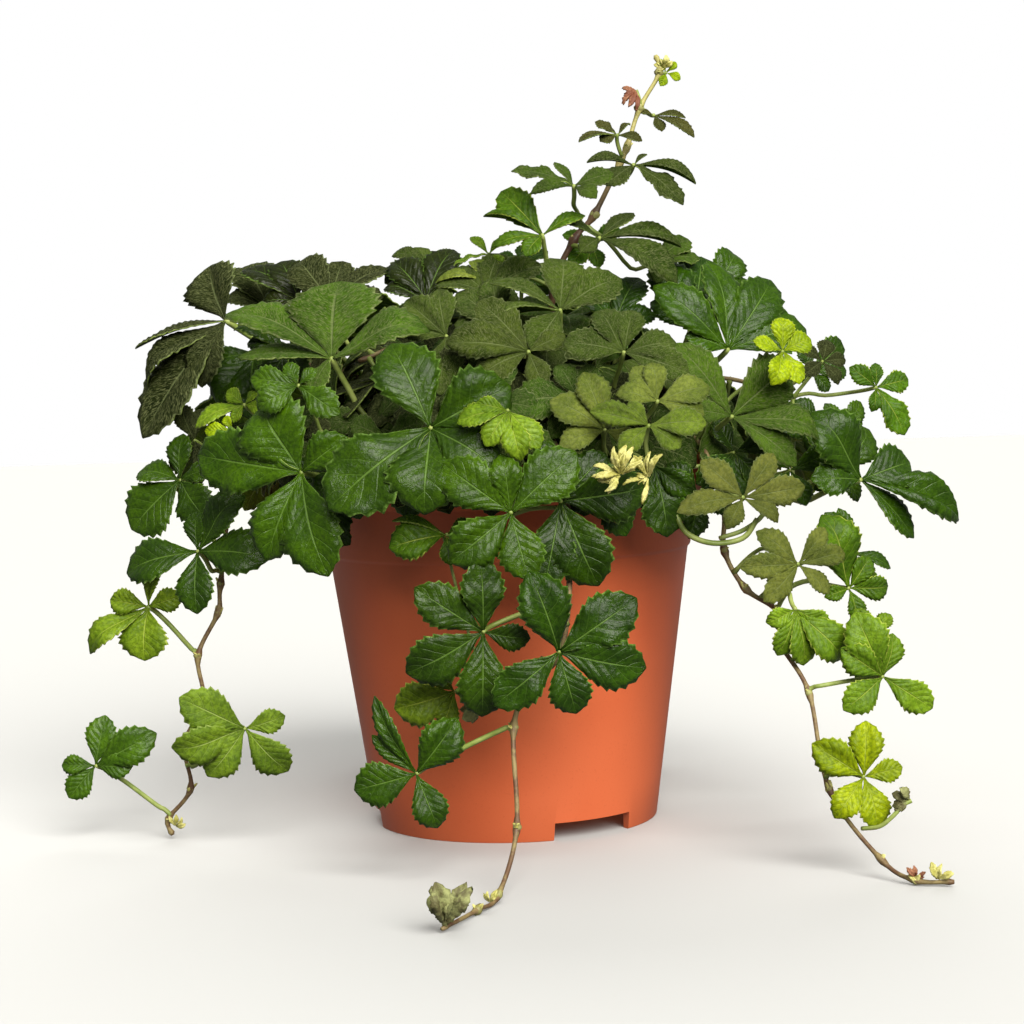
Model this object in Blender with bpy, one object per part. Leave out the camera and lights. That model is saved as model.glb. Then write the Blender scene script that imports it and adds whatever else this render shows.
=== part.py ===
"""Potted ivy: a five-fingered climbing plant in a tapered nursery pot, modelled in metres."""

import math

import bmesh
import bpy
from mathutils import Vector

MM = 0.001

# Pot: a thin tapered wall that steps out to a collar, on a foot ring with three notches
FOOT_RADIUS = 41.0
SHOULDER_RADIUS = 52.1
SHOULDER_HEIGHT = 78.0
BAND_STEP = 0.8
COLLAR_UNDER_RADIUS = 54.4
COLLAR_UNDER_HEIGHT = 93.0
RIM_RADIUS = 60.0
POT_HEIGHT = 105.0
WALL = 1.6
COLLAR_SLOPE = 2.0
LIP_ROUNDING = 0.6
FLOOR_UNDERSIDE = 6.0
FLOOR_THICKNESS = 2.0
FOOT_RING_WIDTH = 2.2
NOTCH_BEARINGS = (32.0, 152.0, 272.0)
NOTCH_WIDTH = 25.0
NOTCH_HEIGHT = 5.0
DRAIN_HOLES = 6
DRAIN_RADIUS = 3.5
DRAIN_CIRCLE = 24.0
DRAIN_START = 17.0
POT_SIDES = 64
DRAIN_SIDES = 12

# Soil: fills the pot to just under the ledge of the collar
SOIL_TOP = 91.0
SOIL_CROWN = 1.5
GAP = 0.3

# Stems and leaves
STEM_SIDES = 6
STEM_STEPS = 3
LEAF_THICKNESS = 0.8
HUB_RADIUS = 1.5
STALK_RADIUS = 0.75
STALK_SIDES = 5
STALK_STEPS = 4
LEAFLET_WIDTH = 0.56
LEAFLET_STATIONS = ((0.28, 0.5), (0.6, 1.0), (0.88, 0.62))
LEAFLET_ARCH = 0.06
SECTOR_SHARE = 0.85
STAR_LEAFLETS = ((0, 1.0), (54, 0.93), (-54, 0.93), (112, 0.7), (-112, 0.7))

# Each stem: its points (mm right, back, up) and its thickness at the soil and at the end
STEMS = {
    "stem_left": (
        [(-22, -6, 93.4), (-42, -14, 109), (-62, -24, 116), (-76, -27, 98), (-81, -26, 73), (-82, -26, 65),
         (-88, -27, 53), (-87, -27, 40), (-93, -26, 28), (-92, -24, 15), (-99, -22, 6), (-98, -22, 1.4)],
        2.2, 1.5,
    ),
    "stem_right": (
        [(20, -12, 93.4), (38, -28, 110), (52, -40, 110), (58, -50, 92), (58, -52, 80), (63, -56, 70), (71, -62, 64),
         (71, -66, 56), (77, -74, 44), (80, -86, 21), (91, -98, 5), (98, -106, 1.4), (107, -109, 1.4)],
        2.3, 1.4,
    ),
    "stem_front": (
        [(4, -20, 93.4), (10, -48, 110), (14, -66, 108), (16, -74, 84), (13, -78, 58), (5, -80, 50), (0, -84, 39),
         (0, -98, 16), (-5, -111, 2.2), (-10, -122, 1.3), (-18, -139, 1.2)],
        2.2, 1.2,
    ),
    "stem_upright": (
        [(10, 2, 93.4), (12, -8, 120), (15, -18, 152), (21, -18, 166), (27, -17, 173), (35, -15, 188), (37, -14, 192),
         (41, -12, 203), (47, -10, 213), (46, -10, 218)],
        2.4, 1.3,
    ),
    "stem_back": (
        [(-10, 20, 93.4), (-16, 46, 110), (-20, 66, 108), (-24, 80, 84), (-26, 92, 48), (-20, 104, 18),
         (-12, 114, 2.4), (-4, 126, 1.4), (4, 139, 1.3)],
        2.2, 1.2,
    ),
    "stem_rear_right": (
        [(18, 16, 93.4), (38, 38, 110), (46, 50, 106), (44, 66, 80), (38, 74, 48), (32, 80, 26)],
        2.0, 1.3,
    ),
    "stem_crown_left": ([(-12, 6, 93.4), (-28, 8, 118), (-48, 8, 132), (-66, 4, 134)], 2.2, 1.4),
    "stem_crown_right": ([(14, 6, 93.4), (34, 6, 116), (60, 4, 126), (84, 0, 120)], 2.2, 1.4),
    "stem_crown_back": ([(0, 12, 93.4), (-4, 30, 120), (-2, 48, 130)], 2.0, 1.5),
}

# Each leaf that faces forward: where its leaflets meet (mm right, back, up), how far its blade
# leans back per mm right and per mm up, each leaflet's tip (mm right, up), and the stalk's foot
FORWARD_LEAVES = {
    "crown": [
        ((-46, -48, 135), (-0.25, 0.7), [(2, 21), (-30, 13), (-26, 1), (27, 6), (-5, -9)], (8, 8, -16)),
        ((-79, -8, 147), (-0.5, 0.4), [(-4, 16), (-28, -7), (-24, -19), (-25, -33), (-7, -19)], (14, 6, -10)),
        ((-68, 10, 151), (-0.2, 0.9), [(10, 13), (21, 10), (-10, 12), (-14, 2), (10, -8)], (10, 2, -12)),
        ((-54, -60, 128), (-0.2, 0.4), [(-13, 2), (-11, -6), (11, -8), (5, 4), (-3, 6)], (6, 8, -14)),
        ((61, -52, 116), (0.35, 0.35), [(-15, 20), (-10, 0), (16, 13), (24, -8), (18, -15)], (-6, 12, -6)),
        ((62, -36, 134), (0.4, 0.5), [(-21, 19), (-4, 25), (14, 19), (23, 7), (-10, 6)], (-8, 12, -8)),
        ((16, -46, 146), (0.0, 0.7), [(1, 14), (17, 8), (-19, 8), (-21, -4), (-8, -11)], (0, 10, -10)),
        ((32, -62, 134), (0.1, 0.6), [(-16, 3), (-7, 11), (14, 2), (17, -6), (3, 11)], (-2, 12, -8)),
        ((40, -70, 121), (0.15, 0.5), [(-1, 10), (-11, 2), (14, 3), (12, -4), (-6, 9)], (-4, 10, -6)),
        ((37, -78, 115), (0.1, 0.3), [(-5, 6), (15, 0), (8, -6), (-15, 4), (-8, -7)], (-1, 6, -10)),
        ((0, -38, 141), (0.0, 0.6), [(-13, 2), (-12, 11), (-2, 15), (11, 2), (1, -8)], (0, 10, -10)),
        ((-22, 0, 158), (0.0, 0.9), [(-9, 4), (-1, 9), (8, 6), (13, -1), (-7, -5)], (2, 4, -12)),
        ((91, 10, 127), (0.5, 0.3), [(-3, 8), (10, 9), (11, 0), (5, -6), (-7, -2)], (-12, 4, -8)),
        ((107, -8, 122), (0.4, 0.2), [(-8, 6), (0, 7), (10, 2), (8, -14), (-2, -7)], (-14, 6, -2)),
    ],
    "front": [
        ((-19, -74, 116), (-0.1, 0.35), [(-10, 22), (21, 10), (-27, -20), (-2, -22), (17, -11)], (4, 12, -5)),
        ((1, -84, 94), (0.0, 0.15), [(-17, 13), (17, 15), (-16, -12), (4, -17), (-2, 15)], (2, 10, 8)),
        ((14, -76, 96), (0.1, 0.1), [(22, 3), (9, -22), (-5, -22), (12, 12), (-5, 16)], (-6, 8, 8)),
        ((-7, -86, 64), (0.0, -0.1), [(0, 19), (-17, 12), (-20, -10), (-1, -22), (12, -2)], (14, 5, 5)),
        ((12, -92, 59), (0.1, -0.1), [(-7, 21), (20, 13), (22, -5), (4, -16), (-17, -13)], (1, 10, 6)),
        ((-25, -90, 29), (-0.1, 0.0), [(-16, -4), (-10, 20), (11, 14), (5, -14), (-11, 10)], (23, 6, 10)),
    ],
    "left": [
        ((-54, -62, 105), (-0.45, 0.2), [(-29, 5), (-10, 18), (-10, -23), (7, -27), (13, 9)], (8, 12, -2)),
        ((-93, -14, 102), (-0.5, 0.3), [(-15, -13), (8, -10), (1, 13), (-13, 2), (10, 3)], (11, -8, -20)),
        ((-86, -34, 83), (-0.4, 0.3), [(-21, -6), (0, 11), (14, 15), (21, -2), (0, -17)], (3, 5, -6)),
        ((-102, -24, 67), (-0.2, 0.2), [(4, 11), (-11, 2), (-17, -13), (-1, -15), (10, 3)], (12, -2, -12)),
        ((-74, -40, 34), (0.2, -0.2), [(11, 3), (11, -13), (-11, -13), (-20, -4), (-17, 10)], (-16, 13, -12)),
        ((-119, -22, 22), (-0.2, 0.2), [(3, 14), (-10, 0), (18, 9), (11, 0), (-8, -9)], (17, 0, -12)),
    ],
    "right": [
        ((62, -66, 95), (0.3, 0.3), [(-11, 10), (12, 10), (18, 2), (-19, -2), (9, -8)], (-8, 8, 6)),
        ((76, -66, 77), (0.3, 0.3), [(-12, 9), (-15, 0), (-11, -7), (13, 1), (7, 9)], (-8, 6, 4)),
        ((91, -54, 69), (0.3, 0.1), [(-7, 20), (11, 0), (2, -9), (-7, -2), (6, 8)], (-10, 4, 2)),
        ((74, -74, 66), (0.2, -0.1), [(-5, -12), (12, -14), (-8, -3), (9, -5), (2, -15)], (-1, 6, 4)),
        ((96, -76, 48), (0.2, 0.1), [(-7, 17), (-11, 8), (-11, -8), (13, -9), (3, 11)], (-16, 1, -2)),
        ((88, -92, 25), (0.1, 0.1), [(1, 14), (-13, 9), (10, 2), (-8, -10), (3, -13)], (-6, 5, 1)),
        ((98, -34, 97), (0.5, 0.2), [(-14, 19), (15, 4), (-15, 1), (29, -13), (15, -17)], (-16, 8, -6)),
    ],
    "upright": [
        ((34, -20, 195), (0.2, 0.8), [(-10, -1), (-5, 4), (3, 4), (7, 0), (-4, -4)], (1, 3, -5)),
        ((38, -26, 186), (0.1, 0.7), [(16, -7), (12, -12), (-7, -7), (-11, 1), (3, 6)], (-2, 8, -3)),
        ((21, -35, 180), (-0.1, 0.7), [(-16, 5), (-11, -2), (-4, 9), (11, 4), (6, -4)], (0, 6, -5)),
        ((12, -34, 167), (-0.1, 0.7), [(-11, 14), (-15, 8), (-18, -3), (12, 6), (-6, -6)], (2, 10, -12)),
        ((28, -28, 166), (0.3, 0.6), [(17, -9), (25, -3), (15, 6), (-6, -4), (-11, 4)], (-4, 7, -3)),
    ],
}

# Each leaf of the rear: where its leaflets meet, the bearing that it faces (degrees from the front
# towards the right), its tilt up, the length of its longest leaflet, its spin, and the stalk's foot
REAR_LEAVES = [
    ((-50, 62, 126), 218, 35, 27, 10, (8, -12, -8)),
    ((-8, 80, 116), 184, 25, 30, -15, (2, -14, -4)),
    ((38, 68, 124), 150, 35, 27, 12, (-6, -12, -8)),
    ((80, 40, 110), 118, 25, 27, -10, (-12, -8, -6)),
    ((-86, 38, 114), 246, 25, 28, 14, (12, -6, -8)),
    ((-30, 38, 150), 205, 60, 25, -12, (2, -4, -12)),
    ((24, 38, 150), 160, 60, 25, 16, (-4, -6, -12)),
    ((-12, 92, 76), 182, 10, 24, 20, (-8, -6, -8)),
    ((40, 80, 86), 154, 12, 22, -18, (4, -8, -6)),
    ((-34, 104, 34), 190, 12, 22, -25, (8, -6, -4)),
    ((30, 88, 40), 164, 10, 20, 15, (3, -6, -3)),
]


def empty_scene():
    for thing in list(bpy.data.objects):
        bpy.data.objects.remove(thing, do_unlink=True)


def surface(name, color, roughness):
    made = bpy.data.materials.new(name)
    made.use_nodes = True
    shader = made.node_tree.nodes["Principled BSDF"]
    shader.inputs["Base Color"].default_value = (*color, 1.0)
    shader.inputs["Roughness"].default_value = roughness
    return made


def solid(name, points, faces, material):
    """One object from points in mm and the faces between them."""
    mesh = bpy.data.meshes.new(name)
    mesh.from_pydata([Vector(point) * MM for point in points], [], faces)
    sheet = bmesh.new()
    sheet.from_mesh(mesh)
    bmesh.ops.recalc_face_normals(sheet, faces=sheet.faces)
    sheet.to_mesh(mesh)
    sheet.free()
    mesh.materials.append(material)
    made = bpy.data.objects.new(name, mesh)
    bpy.context.scene.collection.objects.link(made)
    return made


def turned(name, profile, sides, material):
    """A solid of revolution about Z from a closed profile of (radius, height) that touches the axis at both ends."""
    points = []
    rings = []
    for radius, height in profile:
        if radius == 0:
            rings.append([len(points)])
            points.append((0, 0, height))
            continue
        rings.append(list(range(len(points), len(points) + sides)))
        for side in range(sides):
            angle = 2 * math.pi * side / sides
            points.append((radius * math.cos(angle), radius * math.sin(angle), height))
    faces = []
    for lower, upper in zip(rings, rings[1:]):
        for side in range(sides):
            after = (side + 1) % sides
            if len(lower) == 1:
                faces.append((lower[0], upper[side], upper[after]))
            elif len(upper) == 1:
                faces.append((lower[side], upper[0], lower[after]))
            else:
                faces.append((lower[side], upper[side], upper[after], lower[after]))
    return solid(name, points, faces, material)


def cut(target, cutter):
    """Cuts one solid out of another; the cutter stays as a hidden guide."""
    cutter.hide_render = True
    cutter.display_type = "WIRE"
    trim = target.modifiers.new("Cut", "BOOLEAN")
    trim.operation = "DIFFERENCE"
    trim.solver = "EXACT"
    trim.object = cutter


def bearing_direction(bearing):
    """The level direction at a bearing in degrees from the front (-Y) towards the right (+X)."""
    angle = math.radians(bearing)
    return Vector((math.sin(angle), -math.cos(angle), 0))


def block(name, middle, along, across, sizes, material):
    """A box around a middle point, its sides along two level directions and up."""
    length, width, height = sizes
    points = []
    for up in (-height / 2, height / 2):
        for side, end in ((-1, -1), (1, -1), (1, 1), (-1, 1)):
            points.append(middle + along * side * length / 2 + across * end * width / 2 + Vector((0, 0, up)))
    faces = [(0, 1, 2, 3), (4, 5, 6, 7), (0, 1, 5, 4), (1, 2, 6, 5), (2, 3, 7, 6), (3, 0, 4, 7)]
    return solid(name, points, faces, material)


def make_pot(material):
    ledge = COLLAR_UNDER_HEIGHT + WALL / 2
    inner_ledge_radius = COLLAR_UNDER_RADIUS - WALL
    floor_top = FLOOR_UNDERSIDE + FLOOR_THICKNESS
    profile = [
        (0, FLOOR_UNDERSIDE),
        (FOOT_RADIUS - FOOT_RING_WIDTH, FLOOR_UNDERSIDE),
        (FOOT_RADIUS - FOOT_RING_WIDTH, 0),
        (FOOT_RADIUS, 0),
        (SHOULDER_RADIUS, SHOULDER_HEIGHT),
        (SHOULDER_RADIUS + BAND_STEP, SHOULDER_HEIGHT + BAND_STEP),
        (COLLAR_UNDER_RADIUS, COLLAR_UNDER_HEIGHT),
        (RIM_RADIUS, COLLAR_UNDER_HEIGHT + COLLAR_SLOPE),
        (RIM_RADIUS, POT_HEIGHT - LIP_ROUNDING),
        (RIM_RADIUS - LIP_ROUNDING, POT_HEIGHT),
        (RIM_RADIUS - WALL, POT_HEIGHT),
        (RIM_RADIUS - WALL, ledge + COLLAR_SLOPE),
        (inner_ledge_radius, ledge),
        (FOOT_RADIUS - WALL + floor_top * (SHOULDER_RADIUS - FOOT_RADIUS) / SHOULDER_HEIGHT, floor_top),
        (0, floor_top),
    ]
    pot = turned("pot", profile, POT_SIDES, material)
    for number, bearing in enumerate(NOTCH_BEARINGS, 1):
        outward = bearing_direction(bearing)
        across = bearing_direction(bearing + 90)
        sizes = (FOOT_RADIUS / 2, NOTCH_WIDTH, 2 * NOTCH_HEIGHT)
        cut(pot, block(f"notch_{number}", outward * FOOT_RADIUS, outward, across, sizes, material))
    for number in range(DRAIN_HOLES):
        middle = bearing_direction(DRAIN_START + 360 * number / DRAIN_HOLES) * DRAIN_CIRCLE
        low = FLOOR_UNDERSIDE - FLOOR_THICKNESS
        high = FLOOR_UNDERSIDE + 2 * FLOOR_THICKNESS
        profile = [(0, low), (DRAIN_RADIUS, low), (DRAIN_RADIUS, high), (0, high)]
        hole = turned(f"drain_{number + 1}", profile, DRAIN_SIDES, material)
        hole.location = middle * MM
        cut(pot, hole)
    return pot


def make_soil(material):
    bottom = FLOOR_UNDERSIDE + FLOOR_THICKNESS + GAP
    taper = (SHOULDER_RADIUS - FOOT_RADIUS) / SHOULDER_HEIGHT
    wall_gap = WALL + 2 * GAP
    profile = [
        (0, bottom),
        (FOOT_RADIUS - wall_gap + bottom * taper - GAP, bottom),
        (SHOULDER_RADIUS - wall_gap, SHOULDER_HEIGHT),
        (SHOULDER_RADIUS - wall_gap + GAP, SOIL_TOP),
        (SHOULDER_RADIUS / 2, SOIL_TOP + SOIL_CROWN / 2),
        (0, SOIL_TOP + SOIL_CROWN),
    ]
    return turned("soil", profile, POT_SIDES // 2, material)


def smooth_path(corners, steps):
    """Points along a curve through the corners (Catmull-Rom)."""
    ends = [corners[0] * 2 - corners[1], *corners, corners[-1] * 2 - corners[-2]]
    path = []
    for before, start, end, after in zip(ends, ends[1:], ends[2:], ends[3:]):
        for step in range(steps):
            t = step / steps
            path.append(
                start
                + (end - before) * (t / 2)
                + (before * 2 - start * 5 + end * 4 - after) * (t * t / 2)
                + (start * 3 - before - end * 3 + after) * (t * t * t / 2)
            )
    return [*path, corners[-1]]


def tube_rings(path, radii, sides, first=None):
    """Rings of points around a path, each square to it, carried along without a twist."""
    rings = []
    outward = first
    for index, middle in enumerate(path):
        ahead = path[min(index + 1, len(path) - 1)]
        behind = path[max(index - 1, 0)]
        along = (ahead - behind).normalized()
        if outward is None:
            outward = along.orthogonal()
        outward = (outward - along * outward.dot(along)).normalized()
        across = along.cross(outward)
        ring = []
        for side in range(sides):
            angle = 2 * math.pi * side / sides
            ring.append(middle + (outward * math.cos(angle) + across * math.sin(angle)) * radii[index])
        rings.append(ring)
    return rings


def make_stem(name, corners, thick, thin, material):
    path = smooth_path([Vector(corner) for corner in corners], STEM_STEPS)
    last = len(path) - 1
    radii = [(thick + (thin - thick) * index / last) / 2 for index in range(last + 1)]
    rings = tube_rings(path, radii, STEM_SIDES)
    points = [point for ring in rings for point in ring]
    faces = [tuple(range(STEM_SIDES))]
    for ring in range(last):
        for side in range(STEM_SIDES):
            after = (side + 1) % STEM_SIDES
            low = ring * STEM_SIDES
            faces.append((low + side, low + after, low + after + STEM_SIDES, low + side + STEM_SIDES))
    faces.append(tuple(range(last * STEM_SIDES, (last + 1) * STEM_SIDES)))
    return solid(name, points, faces, material)


def leaflet_outline(middle, normal, tip, left_limit, right_limit):
    """Points of one leaflet from its base at the left, round its tip, back to its base at the right."""
    length = tip.length
    along = tip.normalized()
    leftward = normal.cross(along)
    left_points = []
    right_points = []
    for station, share in LEAFLET_STATIONS:
        reach = station * length
        half = share * LEAFLET_WIDTH * length / 2
        lift = normal * LEAFLET_ARCH * length * 4 * station * (1 - station)
        left_half = min(half, reach * math.tan(left_limit) * SECTOR_SHARE)
        right_half = min(half, reach * math.tan(right_limit) * SECTOR_SHARE)
        left_points.append(middle + along * reach + lift + leftward * left_half)
        right_points.append(middle + along * reach + lift - leftward * right_half)
    return right_points, middle + tip, left_points


def turn_between(first, second, normal):
    angle = math.atan2(first.cross(second).dot(normal), first.dot(second))
    return angle % (2 * math.pi)


def make_leaf(name, middle, normal, tips, foot, material):
    """A palmate leaf: leaflets round a small hub as one sheet, with the stalk grown from its underside."""
    tips = sorted(tips, key=lambda tip: turn_between(tips[0], tip, normal))
    count = len(tips)
    turns = [turn_between(tips[i].normalized(), tips[(i + 1) % count].normalized(), normal) for i in range(count)]
    widest = math.radians(75)
    rims = []
    for index, tip in enumerate(tips):
        along = tip.normalized()
        across = normal.cross(along)
        half = turns[index] / 2
        rims.append(middle + (along * math.cos(half) + across * math.sin(half)) * HUB_RADIUS)
    top = list(rims)
    strips = []
    for index, tip in enumerate(tips):
        left_limit = min(turns[index] / 2, widest)
        right_limit = min(turns[index - 1] / 2, widest)
        right_points, end, left_points = leaflet_outline(middle, normal, tip, left_limit, right_limit)
        strips.append((len(top), right_points, end, left_points))
        top += [*right_points, end, *left_points]
    depth = normal * LEAF_THICKNESS
    points = [*top, *[point - depth for point in top]]
    under = len(top)
    stations = len(LEAFLET_STATIONS)
    faces = [tuple(range(count))]
    for index, (start, right_points, end, left_points) in enumerate(strips):
        rights = [(index - 1) % count, *range(start, start + stations)]
        lefts = [index, *range(start + stations + 1, start + 2 * stations + 1)]
        tip_index = start + stations
        edge = [*rights, tip_index, *reversed(lefts)]
        for near, far in zip(range(stations), range(1, stations + 1)):
            quad = (rights[near], rights[far], lefts[far], lefts[near])
            faces += [quad, tuple(corner + under for corner in reversed(quad))]
        last = (rights[stations], tip_index, lefts[stations])
        faces += [last, tuple(corner + under for corner in reversed(last))]
        for near, far in zip(edge, edge[1:]):
            faces.append((near, far, far + under, near + under))
    return solid(name, *with_stalk(points, faces, under, count, middle - depth, normal, foot), material)


def with_stalk(points, faces, under, count, start, normal, foot):
    """Grows a stalk of one ring after another from the hub's underside to its foot."""
    bend = start - normal * foot.length * 0.4
    end = start + foot
    path = []
    for step in range(1, STALK_STEPS + 1):
        t = step / STALK_STEPS
        path.append(start * (1 - t) ** 2 + bend * (2 * t * (1 - t)) + end * t * t)
    first = points[under] - start
    rings = tube_rings([start, *path], [STALK_RADIUS] * (STALK_STEPS + 1), count, first)[1:]
    seam = list(range(under, under + count))
    for ring in rings:
        low = len(points)
        fresh = list(range(low, low + count))
        points += ring
        order = match_order(points, seam, fresh)
        for side in range(count):
            after = (side + 1) % count
            faces.append((seam[side], seam[after], order[after], order[side]))
        seam = order
    faces.append(tuple(seam))
    return points, faces


def match_order(points, seam, fresh):
    """The new ring's points in the order that keeps them nearest to the ring before."""
    count = len(seam)
    best = None
    for way in (fresh, fresh[::-1]):
        for shift in range(count):
            order = way[shift:] + way[:shift]
            spread = sum((points[a] - points[b]).length for a, b in zip(seam, order))
            if best is None or spread < best[0]:
                best = (spread, order)
    return best[1]


def make_forward_leaf(name, middle, lean, tips, foot, material):
    normal = Vector((lean[0], -1, lean[1])).normalized()
    spread = [Vector((right, lean[0] * right + lean[1] * up, up)) for right, up in tips]
    return make_leaf(name, Vector(middle), normal, spread, Vector(foot), material)


def make_rear_leaf(name, middle, bearing, tilt, size, spin, foot, material):
    level = math.cos(math.radians(tilt))
    rise = math.sin(math.radians(tilt))
    normal = bearing_direction(bearing) * level + Vector((0, 0, rise))
    down = bearing_direction(bearing) * rise - Vector((0, 0, level))
    across = normal.cross(down)
    spread = []
    for turn, share in STAR_LEAFLETS:
        angle = math.radians(turn + spin)
        spread.append((down * math.cos(angle) + across * math.sin(angle)) * size * share)
    return make_leaf(name, Vector(middle), normal, spread, Vector(foot), material)


def main():
    empty_scene()
    plastic = surface("terracotta_plastic", (0.62, 0.17, 0.07), 0.42)
    compost = surface("compost", (0.03, 0.02, 0.014), 0.95)
    bark = surface("stem_bark", (0.2, 0.13, 0.06), 0.7)
    blade = surface("leaf_green", (0.04, 0.13, 0.03), 0.45)
    make_pot(plastic)
    make_soil(compost)
    for name, (corners, thick, thin) in STEMS.items():
        make_stem(name, corners, thick, thin, bark)
    for group, leaves in FORWARD_LEAVES.items():
        for number, (middle, lean, tips, foot) in enumerate(leaves, 1):
            make_forward_leaf(f"leaf_{group}_{number}", middle, lean, tips, foot, blade)
    for number, (middle, bearing, tilt, size, spin, foot) in enumerate(REAR_LEAVES, 1):
        make_rear_leaf(f"leaf_rear_{number}", middle, bearing, tilt, size, spin, foot, blade)


main()
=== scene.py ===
import math
import random

import bmesh
import bpy
from mathutils import Matrix, Vector


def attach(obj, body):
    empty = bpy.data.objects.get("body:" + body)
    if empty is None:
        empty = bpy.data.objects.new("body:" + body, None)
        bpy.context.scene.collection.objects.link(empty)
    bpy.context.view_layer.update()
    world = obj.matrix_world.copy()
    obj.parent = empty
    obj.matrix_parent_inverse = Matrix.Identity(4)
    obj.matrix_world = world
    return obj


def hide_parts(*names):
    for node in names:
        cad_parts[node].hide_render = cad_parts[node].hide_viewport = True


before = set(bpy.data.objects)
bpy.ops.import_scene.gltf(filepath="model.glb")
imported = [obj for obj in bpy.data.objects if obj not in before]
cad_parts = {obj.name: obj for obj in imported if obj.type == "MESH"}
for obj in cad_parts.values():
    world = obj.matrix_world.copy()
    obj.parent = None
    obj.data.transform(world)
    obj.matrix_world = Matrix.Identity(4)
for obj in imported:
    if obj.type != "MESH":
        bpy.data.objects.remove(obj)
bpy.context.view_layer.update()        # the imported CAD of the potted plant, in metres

stage = bpy.context.scene
mm = 0.001
dice = random.Random(7)      # every small irregularity draws from this


# Small helpers for working in object and edit mode
def onlySelect(piece):
    if bpy.context.mode != "OBJECT":
        bpy.ops.object.mode_set(mode="OBJECT")
    bpy.ops.object.select_all(action="DESELECT")
    piece.select_set(True)
    bpy.context.view_layer.objects.active = piece


def newPiece(add, **settings):        # a primitive on its own, with its place in its mesh
    bpy.ops.object.select_all(action="DESELECT")
    add(**settings)
    bpy.ops.object.transform_apply(location=True, rotation=True, scale=True)
    return bpy.context.active_object


def startEdit(piece, mode="VERT"):
    onlySelect(piece)
    bpy.ops.object.mode_set(mode="EDIT")
    bpy.ops.mesh.select_mode(type=mode)
    bpy.ops.mesh.select_all(action="DESELECT")


def endEdit():
    bpy.ops.object.mode_set(mode="OBJECT")


def pickAll():
    bpy.ops.mesh.select_all(action="SELECT")


def pickVerts(piece, test):
    shape = bmesh.from_edit_mesh(piece.data)
    for vert in shape.verts:
        vert.select = test(vert)
    shape.select_flush_mode()
    bmesh.update_edit_mesh(piece.data)


def pickRim(piece):        # the open border of a shell
    shape = bmesh.from_edit_mesh(piece.data)
    for edge in shape.edges:
        edge.select = edge.is_boundary
    shape.select_flush_mode()
    bmesh.update_edit_mesh(piece.data)


def grow(value, middle=(0, 0, 0)):
    bpy.ops.transform.resize(value=value, center_override=middle)


def shift(*value):
    bpy.ops.transform.translate(value=value)


def rise(height):
    return Vector((0, 0, height))


def twin(piece, name):
    copy = piece.copy()
    copy.data = piece.data.copy()
    copy.name = name
    stage.collection.objects.link(copy)
    return copy


def joinAll(pieces, name):
    onlySelect(pieces[0])
    for piece in pieces[1:]:
        piece.select_set(True)
    if len(pieces) > 1:
        bpy.ops.object.join()
    pieces[0].name = name
    pieces[0].data.name = name
    return pieces[0]


def applyAll(piece):
    onlySelect(piece)
    for modifier in list(piece.modifiers):
        bpy.ops.object.modifier_apply(modifier=modifier.name)


def dress(piece, *materials):
    piece.data.materials.clear()
    for material in materials:
        piece.data.materials.append(material)


def smooth(piece):
    onlySelect(piece)
    bpy.ops.object.shade_smooth()


def settle(piece, nodes=()):
    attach(piece, "root")
    if nodes:
        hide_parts(*nodes)
    return piece


def throughPoints(corners, steps):        # a smooth line through the corners
    ends = [corners[0] * 2 - corners[1], *corners, corners[-1] * 2 - corners[-2]]
    line = []
    for before, start, end, after in zip(ends, ends[1:], ends[2:], ends[3:]):
        for step in range(steps):
            t = step / steps
            line.append(
                start
                + (end - before) * (t / 2)
                + (before * 2 - start * 5 + end * 4 - after) * (t * t / 2)
                + (start * 3 - before - end * 3 + after) * (t * t * t / 2)
            )
    return [*line, corners[-1]]


def tubeAlong(name, line, radii, sides=8):        # a closed tube on a line, both in millimetres
    path = bpy.data.curves.new(name, "CURVE")
    path.dimensions = "3D"
    path.bevel_depth = mm
    path.bevel_resolution = max(0, sides // 4 - 1)
    path.use_fill_caps = True
    spline = path.splines.new("POLY")
    spline.points.add(len(line) - 1)
    for point, place, radius in zip(spline.points, line, radii):
        point.co = (*(place * mm), 1)
        point.radius = radius
    tube = bpy.data.objects.new(name, path)
    stage.collection.objects.link(tube)
    onlySelect(tube)
    bpy.ops.object.convert(target="MESH")
    startEdit(tube)
    pickAll()
    bpy.ops.mesh.remove_doubles(threshold=0.00001)
    bpy.ops.mesh.normals_make_consistent(inside=False)
    endEdit()
    return tube


# Shorthand for wiring the node tree that was started last
wiring = {}


def feed(socket, value):        # with a number, a colour or the output of another node
    if isinstance(value, (int, float)):
        socket.default_value = value
    elif isinstance(value, tuple):
        socket.default_value = (*value, 1)
    else:
        wiring["tree"].links.new(value, socket)


def addNode(kind, inputs=(), **settings):
    node = wiring["tree"].nodes.new("ShaderNode" + kind)
    for setting, value in settings.items():
        setattr(node, setting, value)
    for name, value in dict(inputs).items():
        feed(node.inputs[name], value)
    return node


def newMaterial(name):
    material = bpy.data.materials.new(name)
    material.use_nodes = True
    wiring["tree"] = material.node_tree
    return material, material.node_tree.nodes["Principled BSDF"].inputs


def combine(operation, *values):
    return addNode("Math", enumerate(values), operation=operation).outputs[0]


def times(first, second):
    return combine("MULTIPLY", first, second)


def fade(value, fromLow, fromHigh, toLow=0.0, toHigh=1.0):
    values = (value, fromLow, fromHigh, toLow, toHigh)
    return addNode("MapRange", enumerate(values), interpolation_type="SMOOTHSTEP").outputs["Result"]


def mixColor(amount, first, second, blend="MIX"):
    return addNode("Mix", {0: amount, 6: first, 7: second}, data_type="RGBA", blend_type=blend).outputs[2]


def objectPlace():
    return addNode("TexCoord").outputs["Object"]


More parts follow.
